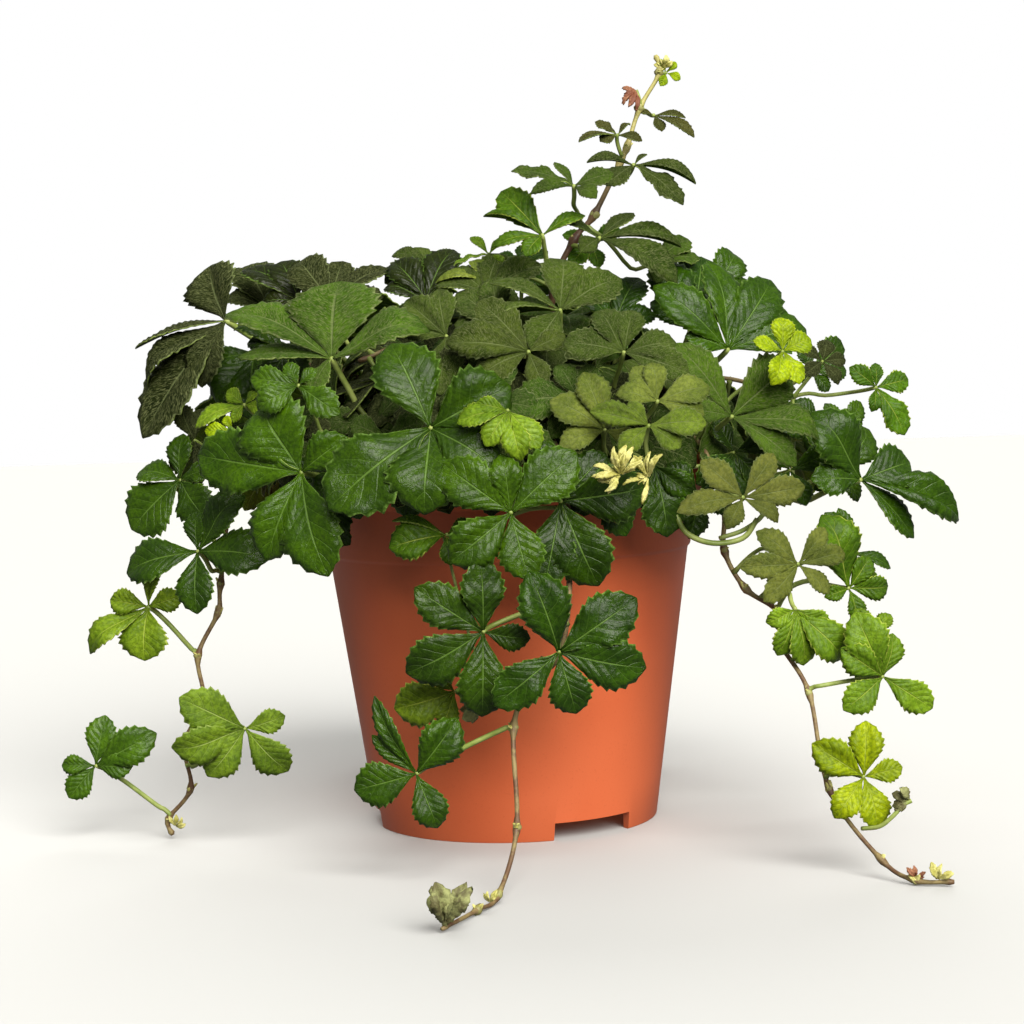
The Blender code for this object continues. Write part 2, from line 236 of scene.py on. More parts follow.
def noise(scale, detail=3.0, roughness=0.5, coordinates=None):
    inputs = {"Scale": scale, "Detail": detail, "Roughness": roughness, "Vector": coordinates or objectPlace()}
    return addNode("TexNoise", inputs).outputs["Fac"]


def bump(height, strength, distance):
    return addNode("Bump", {"Strength": strength, "Distance": distance, "Height": height}).outputs["Normal"]


# The blade of a leaflet: its own colour, thin pale veins that run out to the teeth, and a pale margin
bladeFinishes = {
    "glossy": {"roughness": (0.2, 0.36), "veinTone": (0.13, 0.23, 0.04), "veinShow": 0.6, "hairs": 0.05,
               "gloss": 0.22},
    "felted": {"roughness": (0.55, 0.7), "veinTone": (0.19, 0.23, 0.09), "veinShow": 0.5, "hairs": 0.78,
               "gloss": 0.08},
    "young": {"roughness": (0.3, 0.45), "veinTone": (0.42, 0.5, 0.08), "veinShow": 0.45, "hairs": 0.06,
              "gloss": 0.15},
    "under": {"roughness": (0.5, 0.66), "veinTone": (0.28, 0.36, 0.09), "veinShow": 0.7, "hairs": 0.2,
              "gloss": 0.15},
}
blade = {
    "veinSlant": -0.3,
    "veinCrowding": 6.5,
    "sideVeinEdge": (0.015, 0.07),
    "sideVeinShare": 0.3,
    "midribEdge": (0.014, 0.045),
    "cloudScale": 110.0,
    "cloudTone": (0.55, 0.62, 0.45),
    "grainScale": 1100.0,
    "grainTone": (0.5, 0.56, 0.4),
    "hairStretch": (10.0, 125.0, 9.0),
    "hairTone": (0.17, 0.19, 0.075),
    "margin": (0.9, 0.98),
    "relief": (0.65, 0.0008),
}


def bladeMaterial(name, finish):
    material, skin = newMaterial(name)
    own = addNode("VertexColor", layer_name="bladeTone").outputs["Color"]
    place = addNode("SeparateXYZ", {0: addNode("UVMap").outputs["UV"]}).outputs
    sideways = combine("ABSOLUTE", combine("MULTIPLY_ADD", place[0], 2.0, -1.0))
    lengthways = place[1]
    slanted = combine("MULTIPLY_ADD", sideways, blade["veinSlant"], lengthways)
    fromVein = combine("PINGPONG", times(slanted, blade["veinCrowding"]), 0.5)
    sideVein = times(fade(fromVein, *blade["sideVeinEdge"], 1.0, 0.0), fade(sideways, 0.95, 0.3, 0.1, 1.0))
    midWidth = times(sideways, combine("MULTIPLY_ADD", lengthways, 1.2, 0.3))
    midrib = times(fade(midWidth, *blade["midribEdge"], 1.0, 0.0), fade(lengthways, 0.55, 1.0, 1.0, 0.15))
    vein = combine("MAXIMUM", times(sideVein, blade["sideVeinShare"]), midrib)
    cloudy = noise(blade["cloudScale"], 3.0, 0.55)
    fine = noise(blade["grainScale"], 3.0, 0.6)
    along = addNode("CombineXYZ")        # silky hairs lie the way the side veins run
    for socket, value, scale in zip(along.inputs, (sideways, slanted, cloudy), blade["hairStretch"]):
        feed(socket, times(value, scale))
    hairs = noise(1.0, 2.0, 0.6, along.outputs[0])
    tone = mixColor(fade(cloudy, 0.35, 0.65), own, blade["cloudTone"], "MULTIPLY")
    tone = mixColor(fade(fine, 0.4, 0.6, 0.0, 0.75), tone, blade["grainTone"], "MULTIPLY")
    tone = mixColor(times(fade(hairs, 0.48, 0.68), finish["hairs"]), tone, blade["hairTone"])
    tone = mixColor(times(vein, finish["veinShow"]), tone, finish["veinTone"])
    margin = times(fade(sideways, *blade["margin"], 0.0, 0.9), fade(fine, 0.4, 0.6, 0.25, 1.0))
    feed(skin["Base Color"], mixColor(margin, tone, finish["veinTone"]))
    feed(skin["Roughness"], fade(cloudy, 0.3, 0.7, *finish["roughness"]))
    feed(skin["Specular IOR Level"], finish["gloss"])
    relief = combine("MULTIPLY_ADD", vein, -0.7, times(fromVein, 0.5))
    for layer, share in ((hairs, finish["hairs"] * 0.8), (fine, 0.5), (cloudy, 0.9)):
        relief = combine("MULTIPLY_ADD", layer, share, relief)
    feed(skin["Normal"], bump(relief, *blade["relief"]))
    return material


def skinMaterial(name, low, high, grain, roughness, bumpDepth=0.0004, tip=None):        # stems, stalks, scales
    material, skin = newMaterial(name)
    patches = noise(grain, 4.0, 0.65)
    tone = mixColor(fade(patches, 0.38, 0.62), low, high)
    if tip:
        height = addNode("SeparateXYZ", {0: objectPlace()}).outputs[2]
        tone = mixColor(fade(height, tip["from"], tip["to"]), tone, tip["tone"])
    feed(skin["Base Color"], tone)
    feed(skin["Roughness"], fade(patches, 0.3, 0.7, roughness - 0.08, roughness + 0.08))
    feed(skin["Normal"], bump(noise(grain * 4, 2.0, 0.5), 0.5, bumpDepth))
    return material


plastic = {"low": (0.60, 0.118, 0.040), "high": (0.64, 0.135, 0.048), "speck": (0.45, 0.075, 0.028),
           "roughness": (0.4, 0.5), "gloss": 0.35}


def plasticMaterial():
    material, skin = newMaterial("terracottaPlastic")
    clouds = noise(22.0, 3.0, 0.5)
    specks = noise(1500.0, 2.0, 0.5)
    tone = mixColor(fade(clouds, 0.35, 0.65), plastic["low"], plastic["high"])
    feed(skin["Base Color"], mixColor(fade(specks, 0.6, 0.75, 0.0, 0.25), tone, plastic["speck"]))
    feed(skin["Roughness"], fade(clouds, 0.3, 0.7, *plastic["roughness"]))
    feed(skin["Specular IOR Level"], plastic["gloss"])
    feed(skin["Normal"], bump(specks, 0.25, 0.0001))
    return material


earth = {"low": (0.012, 0.008, 0.005), "high": (0.06, 0.038, 0.022), "fibre": (0.16, 0.1, 0.055),
         "roughness": (0.8, 0.97)}


def compostMaterial():
    material, skin = newMaterial("moistCompost")
    lumps = noise(260.0, 6.0, 0.7)
    fibres = noise(900.0, 4.0, 0.7)
    tone = mixColor(fade(lumps, 0.35, 0.65), earth["low"], earth["high"])
    feed(skin["Base Color"], mixColor(fade(fibres, 0.62, 0.72, 0.0, 0.6), tone, earth["fibre"]))
    feed(skin["Roughness"], fade(lumps, 0.3, 0.7, *earth["roughness"]))
    feed(skin["Normal"], bump(lumps, 0.9, 0.0015))
    return material


blades = {kind: bladeMaterial(kind + "Blade", finish) for kind, finish in bladeFinishes.items()}
stalkSkin = skinMaterial("paleStalk", (0.20, 0.27, 0.05), (0.30, 0.36, 0.09), 160.0, 0.5)
stemBark = skinMaterial("oliveBark", (0.12, 0.06, 0.028), (0.25, 0.19, 0.075), 220.0, 0.6)
shootBark = skinMaterial("shootBark", (0.075, 0.03, 0.02), (0.15, 0.08, 0.04), 220.0, 0.55,
                         tip={"from": 0.168, "to": 0.203, "tone": (0.40, 0.36, 0.11)})
jointSkin = skinMaterial("paleJoint", (0.24, 0.22, 0.07), (0.33, 0.33, 0.11), 260.0, 0.55)
budScale = skinMaterial("creamScale", (0.36, 0.34, 0.07), (0.66, 0.62, 0.22), 400.0, 0.6)
driedSkin = skinMaterial("driedLeaf", (0.10, 0.09, 0.03), (0.30, 0.32, 0.12), 260.0, 0.75, 0.0008)
rustySkin = skinMaterial("rustyLeaf", (0.17, 0.05, 0.02), (0.36, 0.16, 0.08), 300.0, 0.7, 0.0006)
potPlastic = plasticMaterial()
compost = compostMaterial()
print("materials ready")


# The pot is a thin moulded wall, its outline followed from the underside, up, over the rim and down inside
pot = {
    "sides": 160,
    "footInner": 38.8,
    "floorUnder": 6.0,
    "outline": [        # radius and height of each ring after the first
        (38.8, 0.0), (41.0, 0.0), (42.8, 12.6), (52.1, 78.0), (52.9, 78.8), (54.4, 93.0), (60.0, 95.0),
        (60.0, 105.0), (58.4, 105.0), (58.4, 95.8), (52.8, 93.8), (40.5, 8.0),
    ],
    "softEdge": 0.35,
    "notchBearings": (32, 152, 272),
    "notch": (20.5, 25.0, 10.0),
    "drainHoles": 6,
    "drainRadius": 3.5,
    "drainCircle": 24.0,
    "drainStart": 17,
}


def bearing(degrees):        # level direction, from the front towards the right
    return Vector((math.sin(math.radians(degrees)), -math.cos(math.radians(degrees)), 0))


def cutWith(piece, cutter):
    trim = piece.modifiers.new("trim", "BOOLEAN")
    trim.operation = "DIFFERENCE"
    trim.solver = "EXACT"
    trim.object = cutter
    onlySelect(piece)
    bpy.ops.object.modifier_apply(modifier=trim.name)
    bpy.data.objects.remove(cutter)


def makePot():
    radius, height = pot["footInner"], pot["floorUnder"]
    shell = newPiece(bpy.ops.mesh.primitive_circle_add, vertices=pot["sides"], radius=radius * mm,
                     fill_type="NGON", location=(0, 0, height * mm))
    startEdit(shell, "EDGE")
    pickRim(shell)
    for nextRadius, nextHeight in pot["outline"]:
        bpy.ops.mesh.extrude_region_move(TRANSFORM_OT_translate={"value": (0, 0, (nextHeight - height) * mm)})
        wider = nextRadius / radius
        grow((wider, wider, 1))
        radius, height = nextRadius, nextHeight
    bpy.ops.mesh.edge_face_add()
    pickAll()
    bpy.ops.mesh.normals_make_consistent(inside=False)
    endEdit()
    soften = shell.modifiers.new("softEdges", "BEVEL")
    soften.width = pot["softEdge"] * mm
    soften.segments = 2
    soften.angle_limit = math.radians(25)
    applyAll(shell)
    for degrees in pot["notchBearings"]:
        middle = bearing(degrees) * pot["outline"][1][0] * mm
        cutWith(shell, newPiece(bpy.ops.mesh.primitive_cube_add, size=1, location=middle,
                                rotation=(0, 0, math.radians(degrees - 90)), scale=Vector(pot["notch"]) * mm))
    for hole in range(pot["drainHoles"]):
        middle = bearing(pot["drainStart"] + 360 * hole / pot["drainHoles"]) * pot["drainCircle"] * mm
        cutWith(shell, newPiece(bpy.ops.mesh.primitive_cylinder_add, vertices=24, depth=8 * mm,
                                radius=pot["drainRadius"] * mm, location=middle + rise(7 * mm)))
    onlySelect(shell)
    bpy.ops.object.shade_smooth_by_angle(angle=math.radians(30))
    shell.name = shell.data.name = "nurseryPot"
    dress(shell, potPlastic)
    return settle(shell, ["pot"])


makePot()
print("pot made")


# The compost has a rough top with loose crumbs
soil = {"radius": 50.2, "underRadius": 39.4, "under": 8.3, "top": 91.2, "rings": 14, "roughness": 1.1,
        "crumbs": 190}


def makeSoil():
    ground = newPiece(bpy.ops.mesh.primitive_cylinder_add, vertices=72, radius=soil["radius"] * mm,
                      depth=(soil["top"] - soil["under"]) * mm,
                      location=(0, 0, (soil["top"] + soil["under"]) / 2 * mm))
    startEdit(ground)
    narrow = soil["underRadius"] / soil["radius"]
    pickVerts(ground, lambda vert: vert.co.z < 0.05)
    grow((narrow, narrow, 1))
    pickVerts(ground, lambda vert: vert.co.z > 0.05)
    for ring in range(soil["rings"]):
        bpy.ops.mesh.inset(thickness=soil["radius"] * mm / (soil["rings"] + 1))
    pickVerts(ground, lambda vert: vert.co.z > 0.05 and vert.co.xy.length < (soil["radius"] - 1) * mm)
    bpy.ops.transform.vertex_random(offset=soil["roughness"] * mm, seed=3)
    endEdit()
    bits = [ground]
    for crumb in range(soil["crumbs"]):
        reach = math.sqrt(dice.random()) * (soil["radius"] - 3)
        spot = bearing(dice.uniform(0, 360)) * reach + rise(soil["top"] + dice.uniform(-0.3, 0.8))
        bits.append(newPiece(
            bpy.ops.mesh.primitive_ico_sphere_add, subdivisions=1, radius=dice.uniform(0.5, 1.6) * mm,
            location=spot * mm, rotation=(dice.uniform(0, 3), dice.uniform(0, 3), 0),
            scale=(1, dice.uniform(0.5, 1), dice.uniform(0.5, 0.9))))
    ground = joinAll(bits, "compostFill")
    dress(ground, compost)
    return settle(ground, ["soil"])


makeSoil()
print("compost made")


# Stems run through their corners, thick to thin, swollen at the joints where leaves leave them:
# corners in mm (right, back, up), thickness at the soil and at the end, first swollen corner, CAD node
stems = {
    "stemLeft": ([(-22, -6, 91), (-42, -14, 109), (-62, -24, 116), (-76, -27, 98), (-81, -26, 73),
        (-82, -26, 65), (-88, -27, 53), (-87, -27, 40), (-93, -26, 28), (-92, -24, 15), (-99, -22, 6),
        (-98, -22, 1.4)], 1.5, 1.15, 4, "stem_left"),
    "stemRight": ([(20, -12, 91), (38, -28, 110), (52, -40, 110), (58, -50, 92), (58, -52, 80), (63, -56, 70),
        (71, -62, 64), (71, -66, 56), (77, -74, 44), (80, -86, 21), (91, -98, 5), (98, -106, 1.4),
        (107, -109, 1.4)], 1.5, 1.1, 4, "stem_right"),
    "stemFront": ([(4, -20, 91), (10, -48, 110), (14, -66, 108), (16, -74, 84), (13, -78, 58), (5, -80, 50),
        (0, -84, 39), (0, -98, 16), (-5, -111, 2.2), (-10, -122, 1.3), (-18, -139, 1.2)],
        2.0, 1.0, 5, "stem_front"),
    "stemUpright": ([(10, 2, 91), (12, -8, 120), (15, -18, 152), (21, -18, 166), (27, -17, 173),
        (35, -15, 188), (37, -14, 192), (41, -12, 203), (47, -10, 213), (46, -10, 218)],
        2.2, 1.1, 2, "stem_upright"),
    "stemBack": ([(-10, 20, 91), (-16, 46, 110), (-20, 66, 108), (-24, 80, 84), (-26, 92, 48), (-20, 104, 18),
        (-12, 114, 2.4), (-4, 126, 1.4), (4, 139, 1.3)], 2.0, 1.0, 3, "stem_back"),
    "stemRearRight": ([(18, 16, 91), (38, 38, 110), (46, 50, 106), (44, 66, 80), (38, 74, 48), (32, 80, 26)],
        1.9, 1.1, 3, "stem_rear_right"),
    "stemCrownLeft": ([(-12, 6, 91), (-28, 8, 118), (-48, 8, 132), (-66, 4, 134)],
        2.1, 1.2, 1, "stem_crown_left"),
    "stemCrownRight": ([(14, 6, 91), (34, 6, 116), (60, 4, 126), (84, 0, 120)],
        2.1, 1.2, 1, "stem_crown_right"),
    "stemCrownBack": ([(0, 12, 91), (-4, 30, 120), (-2, 48, 130)], 1.9, 1.3, 1, "stem_crown_back"),
    "stemCrownFront": ([(2, -8, 91), (10, -22, 116), (20, -36, 124), (34, -48, 116)], 1.9, 1.2, 1, None),
    "stemCrownTop": ([(-4, 2, 91), (-12, -10, 122), (-24, -20, 138), (-40, -28, 134)], 1.9, 1.2, 1, None),
    "stemCrownNear": ([(-8, -16, 91), (-20, -44, 112), (-30, -60, 108)], 1.9, 1.4, 1, None),
}
swelling = {"gain": 0.95, "reach": 1.5, "step": 1.3, "sides": 10}
stemLines = []        # every stem's points, so that a stalk finds the nearest


def makeScale():        # one pale bud scale, pointed along Z
    scale = newPiece(bpy.ops.mesh.primitive_uv_sphere_add, segments=8, ring_count=6, radius=mm)
    startEdit(scale)
    pickVerts(scale, lambda vert: vert.co.z > 0.4 * mm)
    grow((0.45, 0.6, 1), (0, 0, mm))
    shift(0.3 * mm, 0, 0.9 * mm)
    pickAll()
    grow((0.55, 0.9, 1))
    endEdit()
    dress(scale, budScale)
    return scale


def makeKnot():        # the pale knob at a joint
    knot = newPiece(bpy.ops.mesh.primitive_uv_sphere_add, segments=10, ring_count=6, radius=mm)
    startEdit(knot)
    pickVerts(knot, lambda vert: vert.co.x > 0.3 * mm)
    shift(0.35 * mm, 0, 0.2 * mm)
    pickVerts(knot, lambda vert: abs(vert.co.z) > 0.6 * mm)
    grow((0.7, 0.7, 1.25))
    endEdit()
    dress(knot, jointSkin)
    return knot


def turned(axis, least, most):        # a turn by chance, in radians
    return Matrix.Rotation(dice.uniform(least, most), 4, axis)


def makeStem(name, corners, thick, thin, firstSwollen, node, scale, knot):
    corners = [Vector(corner) for corner in corners]
    rough = throughPoints(corners, 24)
    line = [rough[0]]
    for point in rough[1:]:
        if (point - line[-1]).length >= swelling["step"]:
            line.append(point)
    line.append(rough[-1])
    radii = []
    for index, point in enumerate(line):
        plain = (thick + (thin - thick) * index / len(line)) / 2
        near = min((point - corner).length for corner in corners[firstSwollen:])
        radii.append(plain * (1 + swelling["gain"] * math.exp(-((near / swelling["reach"]) ** 2))))
    radii[-1] *= 0.5
    stemLines.append(line)
    tube = tubeAlong(name, line, radii, swelling["sides"])
    dress(tube, shootBark if name == "stemUpright" else stemBark)
    parts = [tube]
    for corner in corners[firstSwollen:-1]:
        knob = twin(knot, "knot")
        size = Matrix.Scale((thick + thin) * 0.36 * dice.uniform(0.9, 1.15), 4)
        spin = turned("Z", 0, 6.28) @ turned("X", -0.5, 0.5)
        knob.data.transform(Matrix.Translation(corner * mm) @ spin @ size)
        parts.append(knob)
        for side in range(3):
            bit = twin(scale, "scale")
            turn = turned("Z", 0, 6.28) @ turned("Y", 0.3, 1.0)
            turn = turned("X", -0.8, 0.8) @ turn
            bit.data.transform(Matrix.Translation(corner * mm) @ turn @ Matrix.Scale(dice.uniform(0.8, 1.3), 4))
            parts.append(bit)
    stem = joinAll(parts, name)
    smooth(stem)
    return settle(stem, [node] if node else [])


budScaleShape = makeScale()
knotShape = makeKnot()
for name, (corners, thick, thin, firstSwollen, node) in stems.items():
    makeStem(name, corners, thick, thin, firstSwollen, node, budScaleShape, knotShape)
print("stems made")


# Leaflets are copies of a few patterns, each a grid one unit long, drawn in to an outline with a saw edge
leaflet = {
    "fine": {"columns": 6, "rows": 28, "firstTooth": 8, "saw": (0.955, 1.0, 1.085)},
    "plain": {"columns": 4, "rows": 14, "firstTooth": 4, "saw": (0.93, 1.07)},
    "outline": [(0.0, 0.06), (0.08, 0.13), (0.18, 0.34), (0.3, 0.6), (0.45, 0.87), (0.58, 0.99), (0.66, 0.98),
                (0.78, 0.82), (0.88, 0.58), (0.95, 0.32), (1.0, 0.03)],
    "toothForward": 0.014,
    "cup": 0.05,
    "pucker": 0.006,
}
habits = {        # rise of the blade along its length, where it is highest, and how far the halves fold up
    "flat": {"arch": 0.05, "peak": 0.5, "fold": 0.9},
    "arched": {"arch": 0.11, "peak": 0.55, "fold": 1.0},
    "hooked": {"arch": 0.17, "peak": 0.66, "fold": 1.3},
    "folded": {"arch": 0.08, "peak": 0.5, "fold": 3.2},
    "wavy": {"arch": 0.08, "peak": 0.5, "fold": 0.5},
}


def between(table, at):
    for (lowAt, low), (highAt, high) in zip(table, table[1:]):
        if at <= highAt:
            return low + (high - low) * (at - lowAt) / (highAt - lowAt)
    return table[-1][1]


def makeLeaflet(habitName, habit, detail):
    columns, rows, saw = detail["columns"], detail["rows"], detail["saw"]
    pattern = newPiece(bpy.ops.mesh.primitive_grid_add, x_subdivisions=columns, y_subdivisions=rows, size=1,
                       location=(0, 0.5, 0))
    startEdit(pattern)
    half = columns // 2
    cells = [(round(vert.co.y * rows), abs(round(vert.co.x * columns)))
             for vert in bmesh.from_edit_mesh(pattern.data).verts]

    def pick(test):
        pickVerts(pattern, lambda vert: test(*cells[vert.index]))

    for row in range(rows + 1):        # outline and the rise along the midrib
        at = row / rows
        width = between(leaflet["outline"], at)
        pick(lambda r, c: r == row)
        grow((width, 1, 1), (0, at, 0))
        shift(0, 0, habit["arch"] * math.sin(math.pi * at ** (math.log(0.5) / math.log(habit["peak"]))))
        for column in range(1, half + 1):
            share = column / half
            fold = leaflet["cup"] * math.sin(share * math.pi * 0.8) * habit["fold"] * width
            if habitName == "wavy":
                fold += 0.03 * math.sin(at * 16) * share
            puckered = leaflet["pucker"] * (1 if (row + column) % 2 else -1) * width
            pick(lambda r, c: r == row and c == column)
            shift(0, 0, fold + puckered)
        if detail["firstTooth"] <= row < rows:
            step = (row - detail["firstTooth"]) % len(saw)
            pick(lambda r, c: r == row and c == half)
            grow((saw[step], 1, 1), (0, at, 0))
            if step == len(saw) - 1:
                shift(0, leaflet["toothForward"], 0)
    endEdit()
    return pattern


patterns = {name: makeLeaflet(name, habit, leaflet["fine"]) for name, habit in habits.items()}
plainPatterns = {name: makeLeaflet(name, habit, leaflet["plain"]) for name, habit in habits.items()}
print("leaflet patterns made")


tones = {
    "night": (0.018, 0.026, 0.003),
    "deep": (0.029, 0.073, 0.001),
    "green": (0.039, 0.092, 0.001),
    "fresh": (0.072, 0.150, 0.004),
    "light": (0.160, 0.255, 0.011),
    "lime": (0.350, 0.440, 0.004),
    "dust": (0.048, 0.083, 0.005),
    "paleDust": (0.175, 0.205, 0.032),
    "olive": (0.150, 0.215, 0.016),
    "bronze": (0.075, 0.072, 0.010),
}
leafForm = {"width": 0.59, "thickness": 0.35, "stalkRadius": 0.72, "stalkReach": 42}
# Leaves that face forward: where the leaflets meet (mm), how far the blade leans back per mm right and up,
# each leaflet's tip (mm right, up, and where it matters how far its face turns to the sky and its width),
# the stalk's foot, and its finish and tone
forwardLeaves = {}
forwardLeaves["crown"] = [
    ((-46, -48, 135), (-0.25, 0.7), [(2, 21, 0, 1.6), (-30, 13, 0.75, 0.75), (-26, 1, 0.75, 0.7), (27, 6, 0.45),
     (-5, -9, 0.6)], (8, 8, -16), "felted fresh"),
    ((-79, -8, 147), (-0.5, 0.4), [(-5, 16, 0.2, 1.5), (-28, -7, 0.6, 0.8), (-24, -19, 0.5, 0.7),
     (-25, -33, 0.2, 0.85), (-7, -19, 0, 1.2)], (14, 6, -10), "felted night"),
    ((-68, 10, 151), (-0.2, 0.9), [(10, 13), (21, 10), (-10, 12, 0.2, 1.3), (-14, 2, 0.4), (10, -8)],
     (10, 2, -12), "felted night"),
    ((-54, -60, 128), (-0.2, 0.4), [(-13, 2), (-11, -6), (11, -8), (5, 4), (-3, 6)], (6, 8, -14),
     "glossy fresh"),
    # This leaf gets the lighter fresh tone as painted light, making up for the shade the leaves above cast on
    # it.
    ((61, -52, 116), (0.35, 0.35), [(-15, 20, 0, 0.75), (-12, 2, 0, 0.8), (15, 14, 0, 1.1), (24, -7, 0.3, 0.7),
     (17, -14, 0, 0.7)], (-6, 12, -6), "felted fresh"),
    ((62, -36, 134), (0.4, 0.5), [(-20, 18, 0, 0.8), (-4, 25, 0, 0.8), (14, 19, 0, 0.85), (23, 5), (-12, 4)],
     (-8, 12, -8), "glossy green"),
    ((16, -46, 146), (0.0, 0.7), [(1, 14, 0, 1.2), (17, 8, 0, 1.1), (-19, 8, 0.7, 0.75), (-21, -4, 0.7, 0.75),
     (-8, -11, 0, 1.15)], (0, 10, -10), "felted dust"),
    ((32, -62, 134), (0.1, 0.6), [(-16, 3), (-7, 11), (14, 2), (17, -6), (3, 11)], (-2, 12, -8), "felted dust"),
    ((40, -70, 121), (0.15, 0.5), [(-1, 10), (-11, 2), (14, 3), (12, -4), (-6, 9)], (-4, 10, -6),
     "felted paleDust"),
    ((37, -78, 115), (0.1, 0.3), [(-5, 6), (15, 0, 0.2, 0.85), (8, -6), (-15, 4, 0.2, 0.85), (-8, -7)],
     (-1, 6, -10), "felted olive"),
    ((0, -38, 141), (0.0, 0.6), [(-13, 2), (-12, 11), (-2, 15), (11, 2), (1, -8)], (0, 10, -10), "felted dust"),
    ((-22, 0, 158), (0.0, 0.9), [(-9, 4), (-1, 9), (8, 6), (13, -1), (-7, -5)], (2, 4, -12), "felted dust"),
    ((91, 10, 127), (0.5, 0.3), [(-3, 8), (10, 9), (11, 0), (5, -6), (-7, -2)], (-12, 4, -8), "glossy deep"),
    ((107, -8, 122), (0.4, 0.2), [(-8, 6), (0, 7), (10, 2), (8, -14), (-2, -7)], (-14, 6, -2), "young fresh"),
]
forwardLeaves["front"] = [
    ((-19, -74, 116), (-0.1, 0.35), [(-10, 22, 0, 1.2), (21, 10, 0, 1.35), (-27, -20, 0, 1.05),
     (-2, -22, 0, 1.35), (17, -11, 0, 1.3)], (4, 12, -5), "glossy green"),
    ((1, -84, 94), (0.0, 0.15), [(-17, 13, 0, 1.15), (17, 15, 0, 1.15), (-16, -12, 0, 1.15), (4, -17, 0, 1.25),
     (-2, 15)], (2, 10, 8), "glossy green"),
    ((14, -76, 96), (0.1, 0.1), [(22, 3, 0, 1.15), (9, -22, 0, 1.25), (-5, -22), (12, 12), (-5, 16)], (-6, 8, 8),
     "glossy deep"),
    ((-7, -86, 64), (0.0, -0.1), [(0, 19), (-17, 12), (-20, -10), (-1, -22), (12, -2)], (14, 5, 5),
     "glossy deep"),
    ((12, -92, 59), (0.1, -0.1), [(-7, 21), (20, 13), (22, -5), (4, -16), (-17, -13)], (1, 10, 6),
     "glossy deep"),
    ((-25, -90, 29), (-0.1, 0.0), [(-16, -4, 0, 1.1), (-10, 20, 0, 0.4), (11, 14), (5, -14, 0, 1.1),
     (-11, 10, 0, 0.5)], (23, 6, 10), "glossy green"),
]
forwardLeaves["left"] = [
    ((-54, -62, 105), (-0.45, 0.2), [(-29, 5), (-10, 18, 0, 1.45), (-10, -23), (7, -27), (13, 9)], (8, 12, -2),
     "glossy green"),
    ((-93, -14, 102), (-0.5, 0.3), [(-15, -14, 0, 1.35), (8, -11, 0, 1.4), (1, 13, 0.3), (-13, 2, 0.5), (10, 3)],
     (11, -8, -20), "glossy green"),
    ((-86, -34, 83), (-0.4, 0.3), [(-21, -6), (0, 11), (14, 15), (21, -2), (0, -17)], (3, 5, -6),
     "glossy deep"),
    ((-102, -24, 67), (-0.2, 0.2), [(4, 11, 0.5, 0.8), (-11, 2), (-17, -13, 0.3, 0.7), (-1, -15, 0, 1.45),
     (10, 3)], (12, -2, -12), "young light"),
    ((-74, -40, 34), (0.2, -0.2), [(11, 3), (11, -13), (-11, -13), (-20, -4), (-17, 10)], (-16, 13, -12),
     "under light"),
    ((-119, -22, 22), (-0.2, 0.2), [(3, 14), (-10, 0), (18, 9), (11, 0), (-8, -9)], (17, 0, -12),
     "glossy fresh"),
]
forwardLeaves["right"] = [
    ((62, -66, 95), (0.3, 0.3), [(-11, 10, 0, 0.85), (9, 11, 0.3, 0.7), (17, 2, 0, 0.85), (-18, -3, 0.4, 0.7),
     (-5, -8), (9, -7, 0, 0.8)], (-8, 8, 6), "felted paleDust"),
    ((76, -66, 77), (0.3, 0.3), [(-11, 9, 0, 0.8), (-16, 0, 0, 0.7), (-10, -9, 0, 0.75), (13, 2, 0, 0.8),
     (8, 9, 0, 0.7), (8, -8, 0, 0.8)], (-8, 6, 4), "felted paleDust"),
    ((91, -54, 69), (0.3, 0.1), [(-7, 20), (11, 0), (2, -9), (-7, -2), (6, 8)], (-10, 4, 2), "young fresh"),
    ((74, -74, 66), (0.2, -0.1), [(-5, -12), (12, -14), (-8, -3), (9, -5), (2, -15)], (-1, 6, 4),
     "young light"),
    ((96, -76, 48), (0.2, 0.1), [(-7, 17), (-11, 8), (-11, -8), (13, -9), (3, 11)], (-16, 1, -2),
     "young light"),
    ((88, -92, 25), (0.1, 0.1), [(1, 14), (-13, 9), (10, 2), (-8, -10), (3, -13)], (-6, 5, 1), "young lime"),
    ((98, -34, 97), (0.5, 0.2), [(-14, 19, 0, 1.1), (15, 4, 0, 1.2), (-15, 1), (29, -13, 0.5, 0.7),
     (15, -17, 0.4, 0.65)], (-16, 8, -6), "glossy green"),
]
forwardLeaves["upright"] = [
    ((34, -20, 195), (0.2, 0.8), [(-11, -2, 0.6, 0.8), (-6, 4, 0.5, 0.8), (4, 3, 0.6, 0.7), (7, -2, 0.4),
     (-5, -2, 0, 1.2)], (1, 3, -5), "felted bronze"),
    ((38, -26, 186), (0.1, 0.7), [(17, -6, 0.5, 0.6), (13, -12, 0, 0.75), (-8, -6, 0, 1.15), (-13, 1, 0.6, 0.6),
     (4, 3, 0.7, 0.6)], (-2, 8, -3), "felted dust"),
    ((21, -35, 180), (-0.1, 0.7), [(-17, 5, 0.4, 0.65), (-12, -2, 0.3, 0.7), (-5, 7, 0.7, 0.6), (11, 3, 0, 1.0),
     (6, -4)], (0, 6, -5), "felted green"),
    ((12, -34, 167), (-0.1, 0.7), [(-11, 13, 0, 0.8), (-16, 6, 0.5, 0.5), (-14, -3, 0.3, 0.6), (12, 5, 0.5, 0.7),
     (-5, -6)], (2, 10, -12), "young fresh"),
    ((28, -28, 166), (0.3, 0.6), [(21, -14, 0.2, 0.85), (23, -3, 0.6, 0.6), (10, 7, 0.6, 0.7), (-6, -4),
     (-12, 5, 0.5, 0.7)], (-4, 7, -3), "felted dust"),
]
